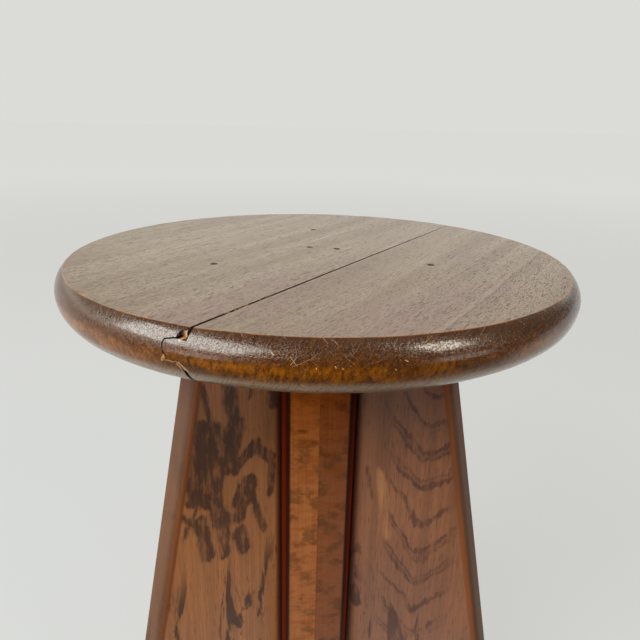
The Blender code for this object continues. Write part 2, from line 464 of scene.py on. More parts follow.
# %% Copy the leg and turn the copies
legs = {"rear": rear_leg}
for side in ("left", "right"):
    leg = copy_of(rear_leg, side + "_leg")
    turn = LEG_TURNS[side] - LEG_TURNS["rear"]
    leg.data.transform(Matrix.Rotation(turn, 4, "Z"))
    legs[side] = leg
for side, leg in legs.items():
    smooth(leg, 30)
    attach(leg, "root")
    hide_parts("leg_" + side)
print("legs:", ", ".join(legs))

# %% [markdown]
# ## The core post
# The post is six-sided, glued up from two halves that meet in the middle of its front face.
# A six-sided cylinder is the whole post, and Bisect keeps one half of a copy for each piece.
# A small bevel eases the corners, and leaves a fine V line where the halves meet.

# %% Model the post halves
POST_ROUND = 1.0 * MM
JOINT_GAP = 0.04 * MM
JOINT_EASE = 0.15 * MM      # the fine V where the halves meet
post_halves = {}

bpy.ops.object.select_all(action="DESELECT")
bpy.ops.mesh.primitive_cylinder_add(
    vertices=6, radius=post_face_distance / math.cos(math.pi / 6),
    depth=post_high.z - post_low.z, location=(0, 0, (post_high.z + post_low.z) / 2),
    rotation=(0, 0, math.pi / 6))
whole_post = bpy.context.object
apply_place(whole_post)
for side, sign in (("left", -1), ("right", 1)):
    half = copy_of(whole_post, side + "_post_half")
    edit(half)
    bpy.ops.mesh.select_all(action="SELECT")
    bpy.ops.mesh.bisect(plane_co=(sign * JOINT_GAP / 2, 0, 0), plane_no=(-sign, 0, 0),
                        use_fill=True, clear_outer=True)
    leave_edit()
    edit(half, "EDGE")
    pick(half, "EDGE", lambda middle, item: abs(middle.x) > 10 * MM
         and item.calc_length() > 100 * MM)
    bpy.ops.mesh.bevel(offset=POST_ROUND, segments=3, affect="EDGES")
    leave_edit()
    apply_modifier(half, "BEVEL", width=JOINT_EASE, segments=1, limit_method="ANGLE",
                   angle_limit=math.radians(80))
    smooth(half, 30)
    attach(half, "root")
    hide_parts("post_half_" + side)
    post_halves[side] = half
    report(half)
bpy.data.objects.remove(whole_post)

# %% [markdown]
# ## Finishing the boards
# The helpers that were only cutters are removed, and the boards take the place of the frame's
# two boards.

# %% Put the boards in place of the frame's boards
for piece in list(bpy.data.objects):
    if piece.name.split(".")[0] in ("pit", "seat_disc", "split_hole", "split_shape",
                                    "split_chunk", "gouge"):
        bpy.data.objects.remove(piece)
for board, node in ((wide_board, "seat_board_wide"), (narrow_board, "seat_board_narrow")):
    smooth(board, 28)
    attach(board, "root")
    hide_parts(node)
    report(board)

# %% [markdown]
# ## A shorthand for materials
# A node material is a small network, and writing each link out by hand hides the idea. This
# helper makes a node, fills in its inputs and gives back its output, so that a network reads
# like a sum. A value that is itself an output is linked, and any other value is typed in.

# %% The material helper
class Finish:
    """A material made of nodes, written as expressions."""

    def __init__(self, name):
        self.material = bpy.data.materials.new(name)
        self.material.use_nodes = True
        self.tree = self.material.node_tree
        self.shader = self.tree.nodes["Principled BSDF"]

    def put(self, socket, value):
        if isinstance(value, bpy.types.NodeSocket):
            self.tree.links.new(value, socket)
        elif value is not None:
            socket.default_value = value

    def node(self, kind, inputs=(), output=0, **settings):
        node = self.tree.nodes.new("ShaderNode" + kind)
        for key, value in settings.items():
            setattr(node, key, value)
        for key, value in dict(inputs).items():
            self.put(node.inputs[key], value)
        return node.outputs[output]

    def place(self, turn=0.0, shift=(0, 0, 0)):
        """Object coordinates, turned about Z so that a chosen direction becomes X."""
        coords = self.node("TexCoord", output="Object")
        return self.node("Mapping", {"Vector": coords, "Rotation": (0, 0, -turn),
                                     "Location": shift})

    def stretch(self, vector, scale):
        return self.node("Mapping", {"Vector": vector, "Scale": scale})

    def noise(self, vector, scale, detail=2.0, rough=0.5, warp=0.0, output=0):
        """Noise with its own scale along each axis."""
        return self.node("TexNoise", {"Vector": self.stretch(vector, scale), "Scale": 1.0,
                                      "Detail": detail, "Roughness": rough,
                                      "Distortion": warp}, output=output)

    def math(self, operation, a, b=None, c=None, clamp=False):
        inputs = {0: a, 1: b, 2: c}
        return self.node("Math", {k: v for k, v in inputs.items() if v is not None},
                         operation=operation, use_clamp=clamp)

    def times(self, a, b):
        return self.math("MULTIPLY", a, b)

    def minus(self, a, b):
        return self.math("SUBTRACT", a, b)

    def vector(self, operation, a, b=None, output=0):
        inputs = {0: a} if b is None else {0: a, 1: b}
        return self.node("VectorMath", inputs, output=output, operation=operation)

    def join(self, x, y, z):
        return self.node("CombineXYZ", {0: x, 1: y, 2: z})

    def jitter(self, vector, scale, detail, rough, reach):
        """A small noisy shift with its own reach along each axis."""
        shift = self.noise(vector, scale, detail, rough, output="Color")
        return self.vector("MULTIPLY", self.vector("SUBTRACT", shift, (0.5, 0.5, 0.5)), reach)

    def split(self, vector):
        node = self.tree.nodes.new("ShaderNodeSeparateXYZ")
        self.put(node.inputs[0], vector)
        return node.outputs

    def step(self, value, low, high, to_low=0.0, to_high=1.0):
        """A smooth step from one value to another."""
        return self.node("MapRange", {"Value": value, "From Min": low, "From Max": high,
                                      "To Min": to_low, "To Max": to_high},
                         interpolation_type="SMOOTHSTEP")

    def band(self, value, start, full, fade, end):
        """Rises from start to full, and falls again from fade to end."""
        return self.times(self.step(value, start, full), self.step(value, fade, end, 1.0, 0.0))

    def mix(self, amount, under, over, blend="MIX"):
        node = self.tree.nodes.new("ShaderNodeMix")
        node.data_type = "RGBA"
        node.blend_type = blend
        for key, value in ((0, amount), (6, under), (7, over)):
            if isinstance(value, tuple) and len(value) == 3:
                value = (*value, 1)
            self.put(node.inputs[key], value)
        return node.outputs[2]

    def fade(self, amount, under, over):
        """Mix two plain numbers."""
        return self.node("Mix", {0: amount, 2: under, 3: over}, data_type="FLOAT")

    def dress(self, colour=None, roughness=None, height=None, relief=0.1 * MM, **plain):
        """Send the results to the shader. Uniform values go straight on its sockets."""
        if isinstance(colour, tuple):
            colour = (*colour, 1)
        self.put(self.shader.inputs["Base Color"], colour)
        self.put(self.shader.inputs["Roughness"], roughness)
        if height is not None:
            self.put(self.shader.inputs["Normal"],
                     self.node("Bump", {"Height": height, "Distance": relief,
                                        "Strength": 1.0}))
        for key, value in plain.items():
            self.put(self.shader.inputs[key.replace("_", " ")], value)
        return self.material


def darker(colour, share):
    return tuple(channel * share for channel in colour)


def give(piece, *materials):
    """Put materials in a piece's slots, one after another."""
    piece.data.materials.clear()
    for material in materials:
        piece.data.materials.append(material)


# %% [markdown]
# ## The wood of the legs
# The planks are figured oak under a thin brown varnish. Sawn across its growth rings, such
# wood shows broad dark bands that run up the plank, split, and close into arches and eyes.
# Each band is a stroke between two points on the plank's face, given in millimetres outwards
# and upwards. A smooth minimum melts the strokes together, and noise frays their edges along
# the grain. Fibres and pores are the same noise, stretched up the plank.

# %% Strokes that draw the figure
def stroke_field(finish, flat, strokes, melt=2.5 * MM):
    """Distance outside the nearest of many thick strokes, melted together, in metres."""
    field = None
    for (x1, z1), (x2, z2), width in strokes:
        start = Vector((x1 * MM, 0, z1 * MM))
        along = Vector((x2 * MM, 0, z2 * MM)) - start
        offset = finish.vector("SUBTRACT", flat, tuple(start))
        reach = finish.math("DIVIDE", finish.vector("DOT_PRODUCT", offset, tuple(along),
                                                    output="Value"),
                            max(along.length_squared, 1e-9), clamp=True)
        foot = finish.node("VectorMath", {0: tuple(along), "Scale": reach}, operation="SCALE")
        away = finish.minus(finish.vector("DISTANCE", offset, foot, output="Value"),
                            width * MM / 2)
        field = away if field is None else finish.math("SMOOTH_MIN", field, away, melt)
    return field


LEFT_FIGURE = [((104, 340), (113, 290), 12), ((112, 290), (112, 250), 14),
               ((80, 336), (76, 300), 9),
               ((76, 300), (86, 270), 16), ((96, 300), (98, 248), 20), ((86, 270), (80, 272), 13),
               ((78, 266), (60, 279), 11), ((60, 279), (47, 262), 9), ((94, 246), (90, 226), 12),
               ((67, 246), (71, 238), 19), ((71, 238), (75, 224), 11), ((64, 244), (60, 224), 5),
               ((60, 224), (53, 200), 5.5), ((86, 230), (88, 196), 9), ((76, 212), (72, 192), 10),
               ((122, 237), (106, 228), 6), ((106, 230), (100, 202), 11), ((46, 306), (46, 330), 7),
               ((64, 318), (60, 332), 3), ((46, 256), (49, 230), 5), ((106, 246), (118, 220), 3),
               ((98, 334), (93, 304), 5)]
RIGHT_FIGURE = [((50, 250), (54, 226), 2)]
REAR_FIGURE = [((70, 330), (88, 250), 7), ((88, 250), (82, 180), 6), ((110, 300), (128, 200), 8)]


# %% The leg material
def leg_wood(name, turn, strokes, base, dark, light, shift, arch=None, streak=None):
    """Strokes draw the figure, arch adds V-shaped rings and streak a light gleam."""
    finish = Finish(name)
    flat = finish.place(turn)
    drift = finish.jitter(flat, (30, 30, 14), 3, 0.55, (12 * MM, 0, 20 * MM))
    fray = finish.jitter(flat, (330, 330, 120), 4, 0.65, (5 * MM, 0, 10 * MM))
    warped = finish.vector("ADD", finish.vector("ADD", flat, drift), fray)
    out, unused, up = finish.split(warped)
    on_face = finish.join(out, 0.0, up)
    field = stroke_field(finish, on_face, strokes)

    moved = finish.node("Mapping", {"Vector": flat, "Location": shift})
    fibres = finish.noise(moved, (620, 620, 9), 4, 0.65)
    streaks = finish.noise(moved, (120, 120, 5), 3, 0.55)
    cloud = finish.noise(moved, (22, 22, 10), 2, 0.5)
    pores = finish.step(finish.noise(moved, (1500, 1500, 70), 2, 0.5), 0.58, 0.68)
    patchy = finish.noise(moved, (160, 160, 40), 3, 0.7)

    band = finish.step(field, -1.6 * MM, 1.6 * MM, 1.0, 0.0)
    band = finish.times(band, finish.step(patchy, 0.32, 0.54, 0.32, 1.0))
    wild = finish.step(finish.noise(moved, (34, 60, 11), 4, 0.65, 1.4), 0.55, 0.62)
    low = finish.step(finish.split(flat)[2], 0.205, 0.16)
    band = finish.math("MAXIMUM", band, finish.times(wild, low))
    if arch:
        middle, slope, spacing, strength = arch
        aside = finish.minus(out, middle)
        soft = finish.math("SQRT", finish.math("ADD", finish.times(aside, aside), (5 * MM) ** 2))
        phase = finish.times(finish.minus(up, finish.times(soft, slope)), math.tau / spacing)
        wobble = finish.noise(moved, (38, 38, 30), 3, 0.6)
        phase = finish.math("ADD", phase, finish.times(wobble, 5.0))
        rings = finish.math("SINE", phase)
        fine = finish.math("SINE", finish.times(phase, 3.3))
        rings = finish.math("ADD", rings, finish.times(fine, 0.45))
        rings = finish.step(rings, 0.15, 1.1)
        rings = finish.times(rings, finish.step(finish.math("ABSOLUTE", aside), 34 * MM, 16 * MM))
        rings = finish.times(rings, finish.step(patchy, 0.34, 0.58, 0.2, 1.0))
        band = finish.math("MAXIMUM", band, finish.times(rings, strength))

    colour = finish.mix(finish.step(cloud, 0.35, 0.65), base, light)
    colour = finish.mix(finish.step(streaks, 0.35, 0.7, 0.0, 0.40), colour, darker(base, 0.62))
    colour = finish.mix(finish.step(fibres, 0.35, 0.75, 0.0, 0.30), colour, dark)
    colour = finish.mix(finish.times(band, 0.90), colour, dark)
    colour = finish.mix(finish.times(pores, 0.45), colour, darker(dark, 0.5))
    if streak:
        sheen = finish.step(stroke_field(finish, on_face, streak, 6 * MM), 5 * MM, -1 * MM)
        sheen = finish.times(sheen, finish.step(streaks, 0.42, 0.60, 0.1, 1.0))
        colour = finish.mix(finish.times(sheen, 0.65), colour, (0.46, 0.20, 0.066))
    # Painted shade darkens each leg close to the post, in the corner where they meet, and the stain
    # is worn to orange along the outer corners.
    reach, unused, tall = finish.split(flat)
    inside = finish.step(reach, leg_inner + 7 * MM, leg_inner + 1 * MM)
    colour = finish.mix(finish.times(inside, 0.75), colour, (0.030, 0.008, 0.003))
    slope_out = (leg_foot_reach - leg_top_reach) / leg_length
    from_edge = finish.minus(finish.minus(leg_foot_reach, finish.times(tall, slope_out)), reach)
    strip = finish.step(from_edge, 6.5 * MM, 4.5 * MM)
    colour = finish.mix(finish.times(strip, 0.9), colour, (0.088, 0.032, 0.009))
    worn = finish.band(from_edge, 1.6 * MM, 3.0 * MM, 5.0 * MM, 6.8 * MM)
    worn = finish.times(worn, finish.step(streaks, 0.3, 0.6, 0.9, 0.6))
    colour = finish.mix(worn, colour, (0.240, 0.060, 0.006))
    # Painted light: the legs are lighter and redder just under the seat, standing in for warm light
    # bounced under it.
    top = finish.step(tall, 0.30, 0.37)
    colour = finish.mix(finish.times(top, 0.50), colour, (1.9, 1.2, 0.60), "MULTIPLY")
    height = finish.minus(finish.times(fibres, 0.6), pores)
    rough = finish.fade(band, finish.step(cloud, 0.3, 0.7, 0.34, 0.44), 0.46)
    rough = finish.fade(strip, rough, 0.70)
    return finish.dress(colour, rough, height, 0.09 * MM, IOR=1.5, Specular_IOR_Level=0.45)


leg_finishes = {
    "left": leg_wood("left_leg_oak", LEG_TURNS["left"], LEFT_FIGURE, (0.43, 0.160, 0.048),
                     (0.066, 0.025, 0.012), (0.52, 0.200, 0.066), (0.1, 0.2, 0)),
    "right": leg_wood("right_leg_oak", LEG_TURNS["right"], RIGHT_FIGURE, (0.232, 0.092, 0.044),
                      (0.068, 0.026, 0.017), (0.285, 0.110, 0.046), (0.4, 0.1, 0.3),
                      (93 * MM, 1.25, 27 * MM, 0.9), [((60, 248), (68, 196), 4)]),
    "rear": leg_wood("rear_leg_oak", LEG_TURNS["rear"], REAR_FIGURE, (0.28, 0.110, 0.032),
                     (0.060, 0.024, 0.012), (0.36, 0.140, 0.042), (0.7, 0.5, 0.6),
                     (80 * MM, -1.0, 31 * MM, 0.75)),
}
for side, leg in legs.items():
    give(leg, leg_finishes[side])
print("leg finishes:", len(leg_finishes))

# %% [markdown]
# ## The wood of the post
# The post is a plainer, straight-grained wood with a clear orange varnish. A faint ripple
# crosses its fine upright grain, and its left half has kept more of its colour.

# %% The post material
def post_wood(name, base, streak, painted_haze_colour, shift):
    finish = Finish(name)
    flat = finish.place(0, shift)
    z = finish.split(finish.place())[2]
    fibres = finish.noise(flat, (620, 620, 12), 4, 0.65)
    streaks = finish.noise(flat, (120, 120, 6), 4, 0.6, 0.4)
    ripple = finish.noise(flat, (50, 50, 190), 3, 0.6)
    smudge = finish.noise(flat, (60, 60, 85), 4, 0.7)
    # Painted reflection: lower down the post is painted paler and greyer, like a haze of the pale
    # floor, while the top stays deep orange.
    worn = finish.step(finish.math("ADD", z, finish.times(smudge, 60 * MM)), 0.375, 0.275)
    colour = finish.mix(finish.step(streaks, 0.3, 0.7), base, streak)
    colour = finish.mix(finish.times(worn, 0.75), colour, painted_haze_colour)
    colour = finish.mix(finish.step(fibres, 0.35, 0.75, 0.0, 0.40), colour, darker(base, 0.40))
    colour = finish.mix(finish.step(ripple, 0.42, 0.66, 0.0, 0.50), colour, darker(base, 0.45))
    colour = finish.mix(finish.step(smudge, 0.48, 0.64, 0.0, 0.55), colour,
                        (0.062, 0.024, 0.006))
    # Painted shade darkens the shoulders beside each leg, with a painted reddish highlight along
    # the middle of the strip.
    corner = glow = 0.0
    for turn in LEG_TURNS.values():
        towards, aside, unused = finish.split(finish.place(turn))
        shoulder = finish.step(towards, post_face_distance - 1.7 * MM,
                               post_face_distance - 0.1 * MM)
        painted_red_glint = finish.band(finish.math("ABSOLUTE", aside), 6 * MM, 14 * MM, 15 * MM, 20.5 * MM)
        corner = finish.math("MAXIMUM", corner, shoulder)
        glow = finish.math("MAXIMUM", glow, finish.times(shoulder, painted_red_glint))
    painted_shoulder_shade = finish.mix(glow, (0.022, 0.003, 0.001), (0.130, 0.012, 0.002))
    colour = finish.mix(corner, colour, painted_shoulder_shade)
    height = finish.math("ADD", finish.times(fibres, 0.5), finish.times(ripple, 0.5))
    return finish.dress(colour, finish.step(streaks, 0.3, 0.7, 0.32, 0.42), height,
                        0.10 * MM, IOR=1.5, Specular_IOR_Level=0.25)


give(post_halves["left"], post_wood("left_post_varnish", (0.50, 0.105, 0.001),
                                    (0.36, 0.078, 0.001), (0.36, 0.140, 0.048), (0.3, 0, 0)))
give(post_halves["right"], post_wood("right_post_varnish", (0.43, 0.090, 0.001),
                                     (0.34, 0.064, 0.001), (0.160, 0.072, 0.036), (0.8, 0, 0.2)))

# %% [markdown]
# ## The wood of the seat
# The seat is a dark brown stain under an old varnish that has dulled on top and worn through
# to amber on the rim. Its grain runs along the seam. One network does the whole seat: how far
# a point is from the middle, and how far below the top, says whether it is on the flat top,
# on the edge, or on the rim.

# %% The seat material
# Raw wood and dirt along the split: strokes across the seam and down the rim, in millimetres.
RAW_STROKES = [((-0.6, -2.2), (-2.6, -5.0), 1.5), ((-10.6, -15.3), (-2.8, -15.8), 0.5),
               ((-2.4, -16.4), (0.6, -19.6), 2.2), ((-0.5, -20.6), (-0.6, -22.6), 0.9),
               ((-9.6, -13.2), (-11.4, -16.2), 0.9)]
DIRT_STROKES = [((0.2, 0.6), (0.3, -3.1), 0.9), ((0.3, -3.1), (-1.3, -5.4), 0.9),
                ((-0.4, -0.7), (-4.2, -1.8), 0.5), ((-4.2, -1.8), (-5.4, -4.8), 0.5),
                ((-3.6, -3.6), (-4.6, -5.2), 0.7), ((-5.4, -5.2), (-7.6, -5.6), 0.6),
                ((-10.4, -6.2), (-10.8, -9.9), 0.8), ((-10.8, -9.9), (-8.4, -13.6), 0.3),
                ((-0.2, -20.2), (-0.8, -27.0), 0.7), ((2.8, -12.0), (4.6, -18.0), 0.3)]

# Knocks on the front of the rim: distance round from the X axis and up from the top.
KNOCK_STROKES = [((-302.4, -7.0), (-299.2, -10.8), 0.10), ((-299.4, -7.2), (-302.2, -10.6), 0.10),
                 ((-290.9, -11.4), (-290.7, -12.0), 0.40), ((-282.6, -10.6), (-282.2, -11.2), 0.45),
                 ((-279.4, -11.5), (-278.9, -11.9), 0.35), ((-297.3, -20.4), (-296.4, -21.6), 0.40),
                 ((-310.8, -6.0), (-310.0, -6.7), 0.30), ((-251.0, -9.0), (-249.6, -9.6), 0.35),
                 ((-255.6, -12.6), (-255.0, -13.3), 0.40)]


def seat_wood(name, shift, top_light, top_dark):
    finish = Finish(name)
    grain = finish.place(SEAM_ANGLE)
    moved = finish.node("Mapping", {"Vector": grain, "Location": shift})
    plain_place = finish.place()
    x, y, z = finish.split(plain_place)
    back = finish.minus(y, TOP_SHIFT)
    away = finish.math("SQRT", finish.math("ADD", finish.times(x, x), finish.times(back, back)))
    depth = finish.minus(seat_top, z)
    down = finish.times(depth, -1.0)
    around = finish.times(finish.math("ARCTAN2", y, x), seat_radius)
    crease = seat_radius - RIM_INSET
    rim = finish.step(away, crease - 0.1 * MM, crease + 0.2 * MM)
    skin = finish.join(around, z, 0.0)

    # Flat top: fibres, soft streaks and short pores along the grain.
    fibres = finish.noise(moved, (14, 620, 620), 4, 0.65)
    streaks = finish.noise(moved, (3.5, 80, 80), 4, 0.6, 0.3)
    cloud = finish.noise(moved, (9, 15, 15), 2, 0.5)
    pores = finish.step(finish.noise(moved, (130, 1500, 1500), 2, 0.5), 0.60, 0.70)
    weave = finish.noise(moved, (260, 420, 420), 2, 0.6)
    top = finish.mix(finish.step(streaks, 0.3, 0.75, 0.0, 0.7), top_light, top_dark)
    top = finish.mix(finish.step(cloud, 0.50, 0.66, 0.0, 0.7), top, (0.165, 0.080, 0.058))
    top = finish.mix(finish.step(fibres, 0.40, 0.75, 0.0, 0.45), top, darker(top_dark, 0.5))
    top = finish.mix(finish.step(weave, 0.45, 0.75, 0.0, 0.3), top, top_dark)
    # The coat is worn thin towards the front, where the open pores and the weave show more.
    thin = finish.step(y, 0.06, -0.10, 0.25, 1.0)
    speckle = finish.step(finish.noise(moved, (420, 1100, 1100), 3, 0.65), 0.50, 0.66)
    speckle = finish.times(speckle, thin)
    top = finish.mix(finish.times(speckle, 0.4), top, (0.045, 0.024, 0.014))
    top = finish.mix(finish.times(pores, 0.75), top, (0.022, 0.010, 0.006))
    # One pale pinkish streak runs the length of the narrow board, with a dark line beside it.
    along, left_of, unused = finish.split(grain)
    right_of = finish.times(left_of, -1.0)
    beside = finish.minus(right_of, finish.times(finish.minus(cloud, 0.5), 5 * MM))
    streak = finish.band(beside, 127.4 * MM, 128.4 * MM, 130.0 * MM, 131.4 * MM)
    line = finish.band(beside, 131.0 * MM, 131.6 * MM, 132.0 * MM, 132.6 * MM)
    top = finish.mix(finish.times(streak, 0.40), top, (0.260, 0.165, 0.115))
    top = finish.mix(finish.times(line, 0.55), top, (0.045, 0.024, 0.014))

    # Rim: dark stain, worn to amber in fine mottled patches below the widest line.
    patches = finish.noise(skin, (26, 60, 1), 3, 0.6, 0.3)
    mottle = finish.noise(skin, (420, 190, 1), 4, 0.7)
    grains = finish.noise(moved, (34, 640, 640), 3, 0.6)
    low_rim = finish.band(depth, 9 * MM, 14 * MM, 21 * MM, 26 * MM)
    worn = finish.times(finish.step(patches, 0.32, 0.54), low_rim)
    worn = finish.times(worn, finish.step(mottle, 0.36, 0.60, 0.12, 1.0))
    side = finish.mix(finish.step(grains, 0.35, 0.7), (0.100, 0.028, 0.002),
                      (0.042, 0.010, 0.001))
    # Painted reflection: the rim is darker brown towards the crisp edge, standing in for the dark
    # ceiling it reflects there.
    side = finish.mix(finish.step(depth, 9 * MM, 4 * MM, 0.0, 0.55), side,
                      (0.045, 0.018, 0.007))
    side = finish.mix(worn, side, (0.290, 0.086, 0.002))
    # Painted reflection: a pale greyish band low on the rim stands in for the pale floor reflected
    # there.
    side = finish.mix(finish.step(depth, 18.5 * MM, 23 * MM, 0.0, 0.9), side,
                      (0.36, 0.235, 0.130))
    side = finish.mix(finish.times(pores, 0.55), side, (0.018, 0.008, 0.003))

    # Cut fibres show as a fine slanting hatch, strongest just under the crisp edge.
    slanted = finish.node("Mapping", {"Vector": skin, "Rotation": (0, 0, math.radians(34))})
    hatch = finish.step(finish.noise(slanted, (1300, 130, 1), 3, 0.6), 0.50, 0.64)
    hatch = finish.times(hatch, finish.step(depth, 16 * MM, 4 * MM, 0.35, 0.7))
    side = finish.mix(hatch, side, (0.030, 0.010, 0.003))

    # Hair scratches round the rim, and small nicks down to bare wood.
    scratches = None
    for lean, fineness in ((38, 1700), (-24, 1500)):
        tilted = finish.node("Mapping", {"Vector": skin,
                                         "Rotation": (0, 0, math.radians(lean))})
        lines = finish.step(finish.noise(tilted, (70, fineness, 1), 2, 0.5, 0.2), 0.66, 0.72)
        scratches = lines if scratches is None else finish.math("MAXIMUM", scratches, lines)
    nicks = finish.node("TexVoronoi", {"Vector": skin, "Scale": 110.0, "Randomness": 1.0})
    chosen = finish.step(finish.noise(skin, (70, 90, 1), 1), 0.60, 0.64)
    nick = finish.times(finish.step(nicks, 0.10, 0.05), chosen)
    side = finish.mix(finish.times(scratches, 0.4), side, (0.30, 0.14, 0.045))
    side = finish.mix(nick, side, (0.62, 0.42, 0.22))
    on_skin = finish.join(around, 0.0, down)
    knocks = finish.step(stroke_field(finish, on_skin, KNOCK_STROKES, 0.05 * MM), 0.10 * MM, 0.0)
    side = finish.mix(finish.times(knocks, 0.6), side, (0.62, 0.40, 0.20))

    # The crisp edge is rubbed to a fine orange line, with dark end pores just below it.
    colour = finish.mix(rim, top, side)
    edge = finish.band(away, crease - 0.7 * MM, crease - 0.2 * MM,
                       crease + 0.1 * MM, crease + 0.5 * MM)
    rubbed = finish.times(edge, finish.step(finish.noise(skin, (70, 1, 1), 4, 0.7), 0.38, 0.60))
    colour = finish.mix(finish.times(rubbed, 0.65), colour, (0.30, 0.100, 0.024))
    teeth = finish.step(finish.noise(moved, (3, 900, 3), 2, 0.5), 0.52, 0.62)
    teeth = finish.times(teeth, finish.band(depth, 0.3 * MM, 0.8 * MM, 2.2 * MM, 4.0 * MM))
    colour = finish.mix(finish.times(teeth, 0.7), colour, (0.022, 0.009, 0.004))

    # The split: raw wood where it gapes, dirt along the closed part.
    near = finish.step(along, -0.150, -0.155)
    where = finish.join(finish.minus(right_of, seam_offset), 0.0, down)
    rough_edge = finish.jitter(grain, (700, 700, 700), 2, 0.6, (1.2 * MM, 0, 1.2 * MM))
    where = finish.vector("ADD", where, rough_edge)
    for strokes, paint in ((DIRT_STROKES, (0.012, 0.005, 0.003)),
                           (RAW_STROKES, (0.46, 0.25, 0.10))):
        mark = finish.step(stroke_field(finish, where, strokes, 0.2 * MM), 0.25 * MM, 0.0)
        colour = finish.mix(finish.times(mark, near), colour, paint)

    open_pores = finish.math("MAXIMUM", pores, finish.times(speckle, 0.6))
    height = finish.minus(finish.times(fibres, 0.5), finish.times(open_pores, 1.2))
    height = finish.math("ADD", height, finish.times(weave, 0.5))
    height = finish.minus(height, finish.times(finish.times(scratches, rim), 0.8))
    pits = finish.noise(plain_place, (520, 520, 520), 3, 0.7)
    height = finish.math("ADD", height, finish.times(finish.times(pits, rim), 0.7))
    # The rim was sanded finer than the top, so its relief is shallower.
    height = finish.times(height, finish.fade(rim, 1.0, 0.58))
    dull_top = finish.fade(open_pores, finish.step(streaks, 0.3, 0.7, 0.26, 0.33), 0.60)
    rough = finish.fade(rim, dull_top, finish.step(patches, 0.3, 0.7, 0.09, 0.15))
    return finish.dress(colour, rough, height, 0.10 * MM, IOR=1.5, Specular_IOR_Level=0.6,
                        Specular_Tint=(1.0, 0.94, 0.84, 1))


wide_finish = seat_wood("wide_board_stain", (0, 0, 0), (0.190, 0.122, 0.064),
                        (0.126, 0.072, 0.034))
narrow_finish = seat_wood("narrow_board_stain", (0.37, 0.21, 0), (0.190, 0.114, 0.058),
                          (0.116, 0.062, 0.030))


# %% The opened seam and the gouge
def seam_dirt():
    """Dark dirt down the seam, with crumbs of raw wood near its front end."""
    finish = Finish("seam_dirt")
    grain = finish.place(SEAM_ANGLE)
    along = finish.split(grain)[0]
    crumbs = finish.step(finish.noise(grain, (190, 300, 300), 3, 0.6), 0.48, 0.58)
    front = finish.band(along, -150 * MM, -138 * MM, -112 * MM, -90 * MM)
    colour = finish.mix(finish.times(crumbs, front), (0.034, 0.016, 0.008), (0.52, 0.30, 0.11))
    return finish.dress(colour, 0.85, crumbs, 0.2 * MM)


def raw_wood():
    """Torn, unstained wood, darker where dirt has got into it."""
    finish = Finish("torn_raw_wood")
    grain = finish.place(SEAM_ANGLE)
    fibres = finish.noise(grain, (60, 900, 900), 4, 0.65)
    left_of = finish.split(grain)[1]
    stained = finish.step(left_of, -seam_offset + 2.0 * MM, -seam_offset + 3.2 * MM)
    colour = finish.mix(finish.step(fibres, 0.35, 0.65), (0.55, 0.31, 0.13), (0.33, 0.15, 0.05))
    colour = finish.mix(stained, colour, (0.085, 0.026, 0.010))
    return finish.dress(colour, 0.75, fibres, 0.3 * MM)


dirt_look, raw_look = seam_dirt(), raw_wood()


def dress_faces(piece, slot, test):
    """Put the faces that pass a test in another material slot."""
    edit(piece, "FACE")
    count = pick(piece, "FACE", test)
    piece.active_material_index = slot
    bpy.ops.object.material_slot_assign()
    leave_edit()
    print(piece.name, "slot", slot, "faces", count)


def in_seam(middle, item):
    across = middle.dot(seam_across) - seam_offset
    return abs(across) < 1.3 * MM and abs(item.normal.dot(seam_across)) > 0.9


def in_gouge(middle, item):
    across = middle.dot(seam_across) - seam_offset
    along = middle.dot(seam_along)
    depth = seat_top - middle.z
    inside = (-5.4 * MM < across < 0.2 * MM and along < -150 * MM and depth < 5.9 * MM)
    outward = item.normal.dot(Vector((middle.x, middle.y, 0)).normalized())
    return inside and depth > 0.2 * MM and middle.xy.length < seat_radius - 1.2 * MM and (
        abs(item.normal.dot(seam_along)) > 0.97 or outward < 0.2)


give(wide_board, wide_finish, dirt_look, raw_look)
give(narrow_board, narrow_finish, dirt_look)
for board in (wide_board, narrow_board):
    dress_faces(board, 1, in_seam)
dress_faces(wide_board, 2, in_gouge)

# %% [markdown]
# ## Filler, steel and dowel wood
# The nails and dowels are inside the stool and keep the shapes of the frame. They still get
# real finishes, because a part can be taken apart: dull steel with a little rust, and beech
# with fine flecks.

# %% The small finishes
def filler_finish(name, dark, light):
    finish = Finish(name)
    grit = finish.noise(finish.place(), (900, 900, 900), 3, 0.6)
    return finish.dress(finish.mix(grit, dark, light), 0.75, grit, 0.15 * MM)


def steel_finish():
    finish = Finish("dull_nail_steel")
    rust = finish.step(finish.noise(finish.place(), (300, 300, 120), 4, 0.6), 0.5, 0.65)
    colour = finish.mix(rust, (0.42, 0.41, 0.40), (0.16, 0.065, 0.030))
    return finish.dress(colour, finish.fade(rust, 0.38, 0.8), rust, 0.05 * MM, Metallic=0.85)


def beech_finish():
    finish = Finish("dowel_beech")
    flecks = finish.noise(finish.place(), (400, 400, 400), 4, 0.6, 1.0)
    colour = finish.mix(flecks, (0.42, 0.25, 0.12), (0.60, 0.40, 0.22))
    return finish.dress(colour, 0.65, flecks, 0.08 * MM)


fresh_filler = filler_finish("dark_filler_dab", (0.012, 0.008, 0.006), (0.045, 0.028, 0.020))
worn_filler = filler_finish("worn_filler_dab", (0.050, 0.034, 0.022), (0.095, 0.064, 0.042))
steel_look, beech_look = steel_finish(), beech_finish()
for dab in fillers:
    faint = dab.name.endswith(("post_left", "leg_rear"))
    give(dab, worn_filler if faint else fresh_filler)
for name, node in nodes.items():
    look = steel_look if name.startswith("nail_") else beech_look if "dowel" in name else None
    if look:
        for place in node.material_slots:
            place.material = look

